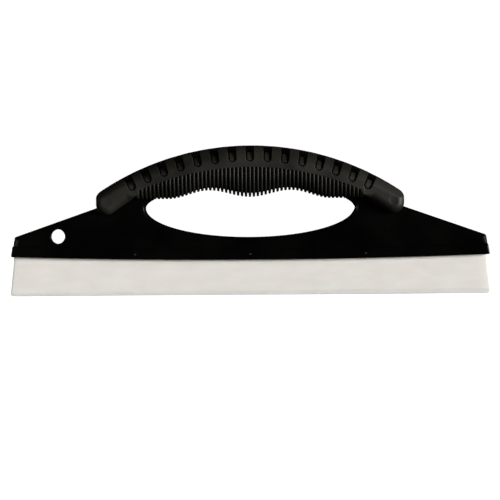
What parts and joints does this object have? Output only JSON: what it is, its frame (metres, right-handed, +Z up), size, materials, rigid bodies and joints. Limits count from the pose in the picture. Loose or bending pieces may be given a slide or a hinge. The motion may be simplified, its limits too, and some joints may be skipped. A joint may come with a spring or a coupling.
{
  "type": "silicone blade hand squeegee",
  "caption": "Hand squeegee with a flat hollow body, an arched soft grip over a hand opening, a hanging hole, and a long flexible silicone blade held in a rail.",
  "frame": {"origin": "middle of the wiping edge, the lowest point of the blade", "axes": "+X along the blade, away from the hanging hole; +Z up from the wiping edge to the crown of the grip; the front faces -Y"},
  "size_m": [0.3048, 0.026, 0.095],
  "materials": {
    "hard_plastic": "satin, fine texture",
    "soft_rubber": "matte, fine grain",
    "silicone": "milky, translucent",
    "steel": "dull"
  },
  "bodies": {
    "handle": {"front_shell": "hard_plastic", "rear_shell": "hard_plastic", "grip_front": "soft_rubber", "grip_rear": "soft_rubber", "blade_root": "silicone", "blade_pins": "steel"},
    "lip": {"blade_lip": "silicone"}
  },
  "joints": [
    {"name": "lip_flex", "type": "hinge", "parent": "handle", "child": "lip", "pos_m": [0, 0, 0.0203], "axis": [1, 0, 0], "range_deg": [-35, 35], "stiffness_Nm_per_rad": 0.2}
  ]
}
